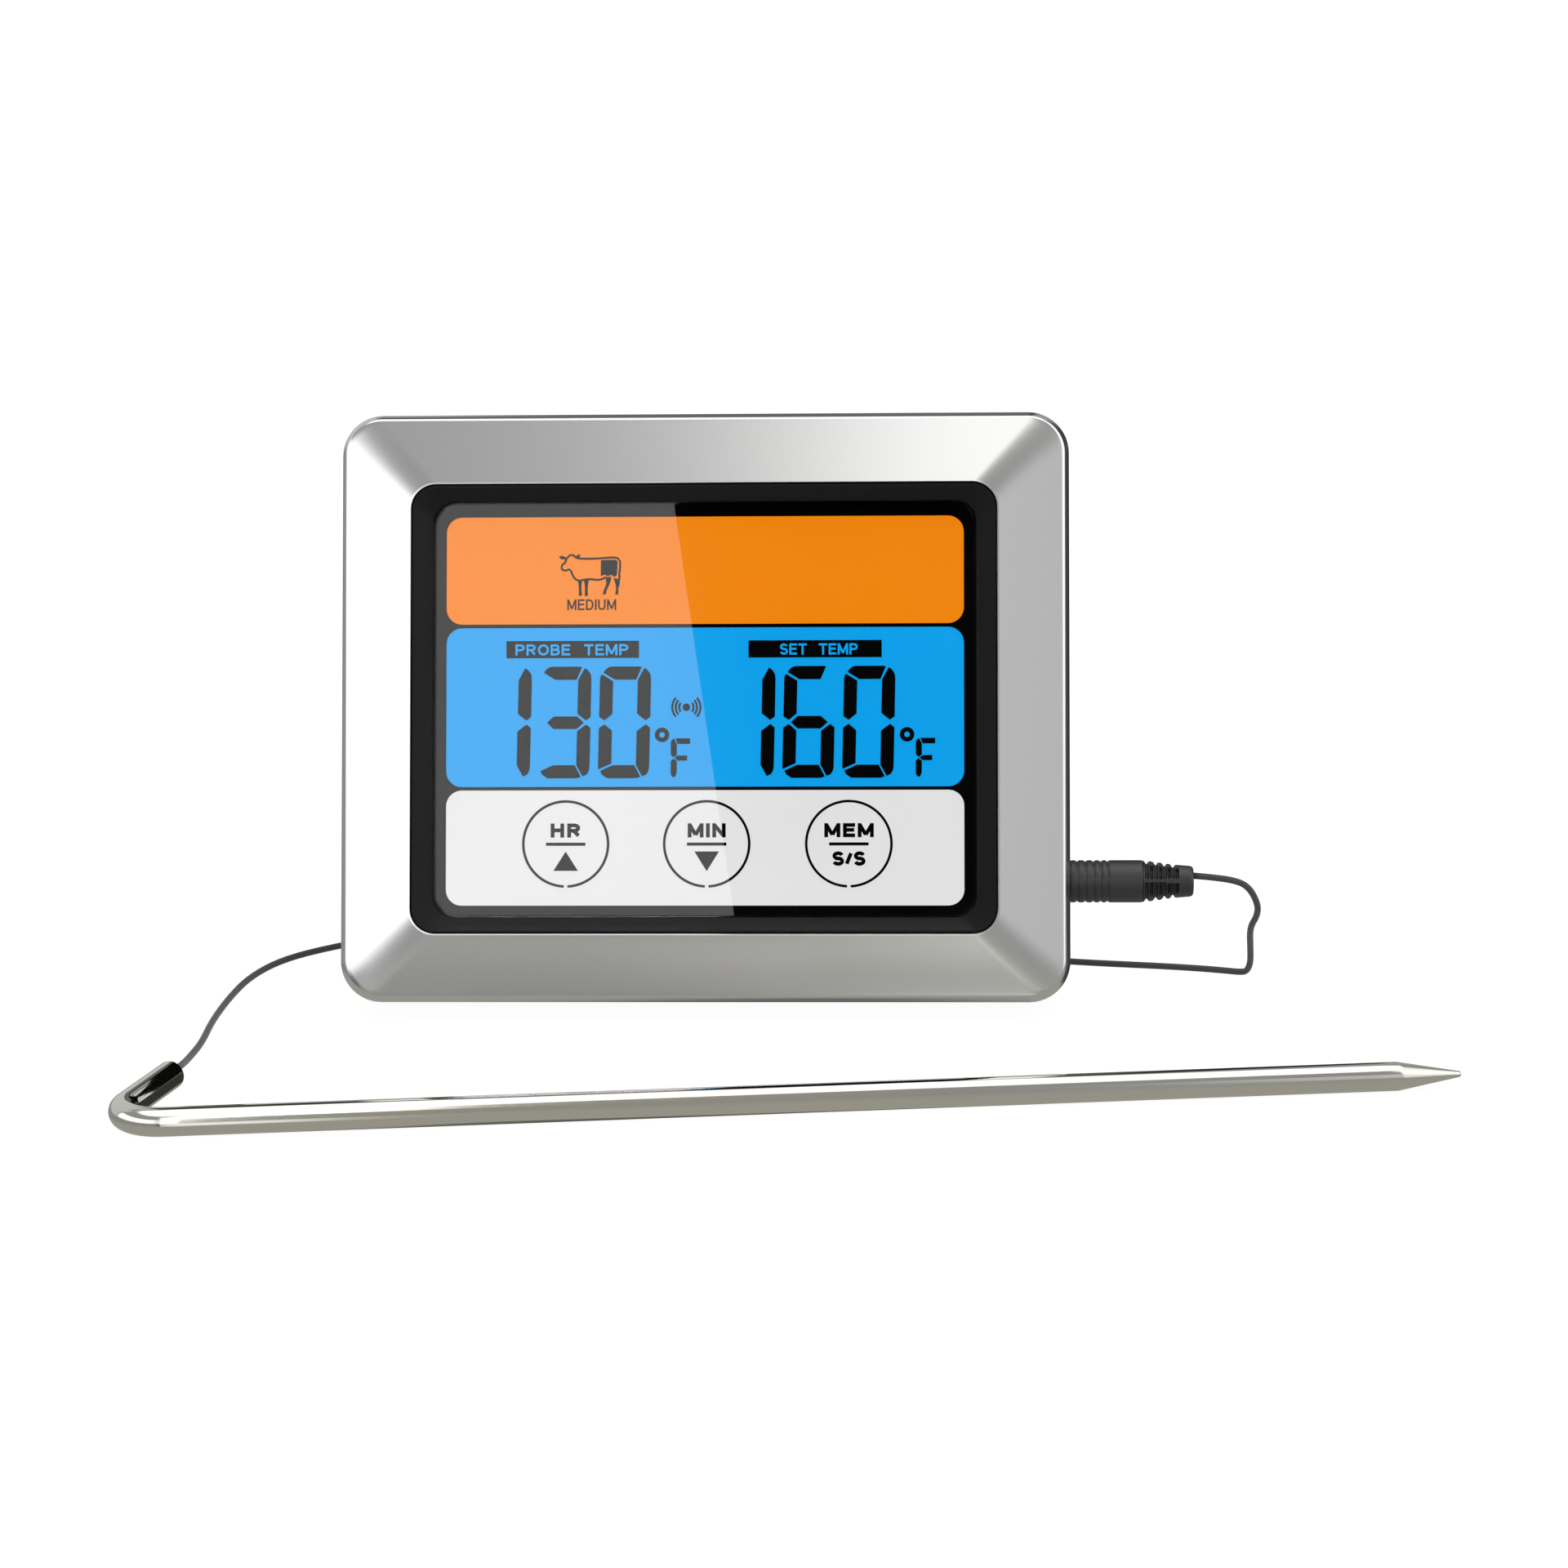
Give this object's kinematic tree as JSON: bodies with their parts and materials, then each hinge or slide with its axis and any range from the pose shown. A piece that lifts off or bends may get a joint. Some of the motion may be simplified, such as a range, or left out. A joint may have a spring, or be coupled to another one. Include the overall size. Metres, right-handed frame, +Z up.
{
  "type": "cooking thermometer",
  "caption": "Leaning display case with a faceted silver frame, orange and blue display and touch keys, wired by a thin lead to a bent steel probe.",
  "frame": {"origin": "on the table, under the middle of the box that holds the case, its stand and the probe", "axes": "+Z up, +X to the right seen from the front, along the case and nearly along the probe, +Y to the back"},
  "size_m": [0.1654, 0.1242, 0.0774],
  "materials": {
    "silver_paint": "satin silver metallic paint over moulded plastic",
    "black_gloss": "gloss black moulding",
    "clear_window": "clear flat window, gloss",
    "black_print": "opaque black print on the back of the window",
    "orange_display": "translucent orange film lit from behind",
    "blue_display": "translucent blue film lit from behind",
    "white_panel": "white printed key panel",
    "display_glass": "liquid crystal cell",
    "clear_acrylic": "clear light guide",
    "white_sheet": "white reflective sheet or paste",
    "white_plastic": "white moulded plastic",
    "black_rubber": "matte black silicone rubber",
    "board_green": "green solder mask on glass fibre board",
    "copper_pads": "bare copper electrode",
    "screw_steel": "zinc plated steel",
    "black_epoxy": "black epoxy",
    "black_plastic": "black moulded plastic",
    "nickel_contact": "nickel plated contact",
    "wire_red": "insulated hook-up wire",
    "grey_plastic": "fine textured dark grey moulding",
    "cell_jacket": "printed cell jacket with no wording",
    "slider_plastic": "light grey moulded slider",
    "magnet_nickel": "nickel plated magnet",
    "plug_moulding": "dark grey moulded plug body",
    "braided_cord": "dark grey fine braid",
    "tie_plastic": "black tie",
    "polished_steel": "polished stainless steel"
  },
  "bodies": {
    "root": {"backlight_leds": "white_plastic", "battery_contacts": "nickel_contact", "battery_left": "cell_jacket", "battery_right": "cell_jacket", "battery_springs": "nickel_contact", "battery_wires": "wire_red", "blue_film": "blue_display", "board_components": "black_epoxy", "board_screws": "screw_steel", "buzzer": "black_plastic", "buzzer_wires": "wire_red", "case_screws": "screw_steel", "controller_blob": "black_epoxy", "cord_coil": "braided_cord", "cord_run": "braided_cord", "cord_seal": "black_rubber", "cord_tail": "braided_cord", "cord_tie": "tie_plastic", "display_window": "clear_window", "foot_left": "black_rubber", "foot_right": "black_rubber", "front_frame": "silver_paint", "hinge_pin": "screw_steel", "inner_ring": "black_gloss", "jack_contacts": "nickel_contact", "jack_socket": "black_plastic", "key_panel_film": "white_panel", "lcd_holder": "white_plastic", "lcd_panel": "display_glass", "light_guide": "clear_acrylic", "magnet_left": "magnet_nickel", "magnet_right": "magnet_nickel", "main_board": "board_green", "mode_switch": "black_plastic", "orange_film": "orange_display", "probe_tube": "polished_steel", "rear_cover": "grey_plastic", "reflector_sheet": "white_sheet", "switch_board": "board_green", "switch_ribbon": "white_plastic", "thermistor": "black_epoxy", "thermistor_leads": "nickel_contact", "tip_potting": "white_sheet", "touch_board": "board_green", "touch_connector": "white_plastic", "touch_electrodes": "copper_pads", "unit_switch": "black_plastic", "window_mask": "black_print", "zebra_connector": "black_rubber"},
    "stand": {"stand_leg": "grey_plastic", "stand_pad": "black_rubber"},
    "battery_door": {"battery_door": "grey_plastic"},
    "mode_slider": {"mode_slider": "slider_plastic"},
    "unit_slider": {"unit_slider": "slider_plastic"},
    "plug": {"plug_grip": "plug_moulding", "strain_relief": "plug_moulding", "plug_sleeve": "nickel_contact", "plug_insulator": "black_plastic", "plug_tip": "nickel_contact", "cord_lead": "braided_cord"}
  },
  "joints": [
    {"name": "stand_fold", "type": "hinge", "parent": "root", "child": "stand", "pos_m": [-0.01263, 0.03601, 0.05948], "axis": [1, 0, 0], "range_deg": [-27.5, 0]},
    {"name": "battery_door_slide", "type": "slide", "parent": "root", "child": "battery_door", "axis": [0, 0.2756, 0.9613], "range_m": [0, 0.052]},
    {"name": "mode_slide", "type": "slide", "parent": "root", "child": "mode_slider", "axis": [1, 0, 0], "range_m": [0, 0.004]},
    {"name": "unit_slide", "type": "slide", "parent": "root", "child": "unit_slider", "axis": [1, 0, 0], "range_m": [0, 0.004]},
    {"name": "plug_pull", "type": "slide", "parent": "root", "child": "plug", "axis": [1, 0, 0], "range_m": [0, 0.012]}
  ]
}
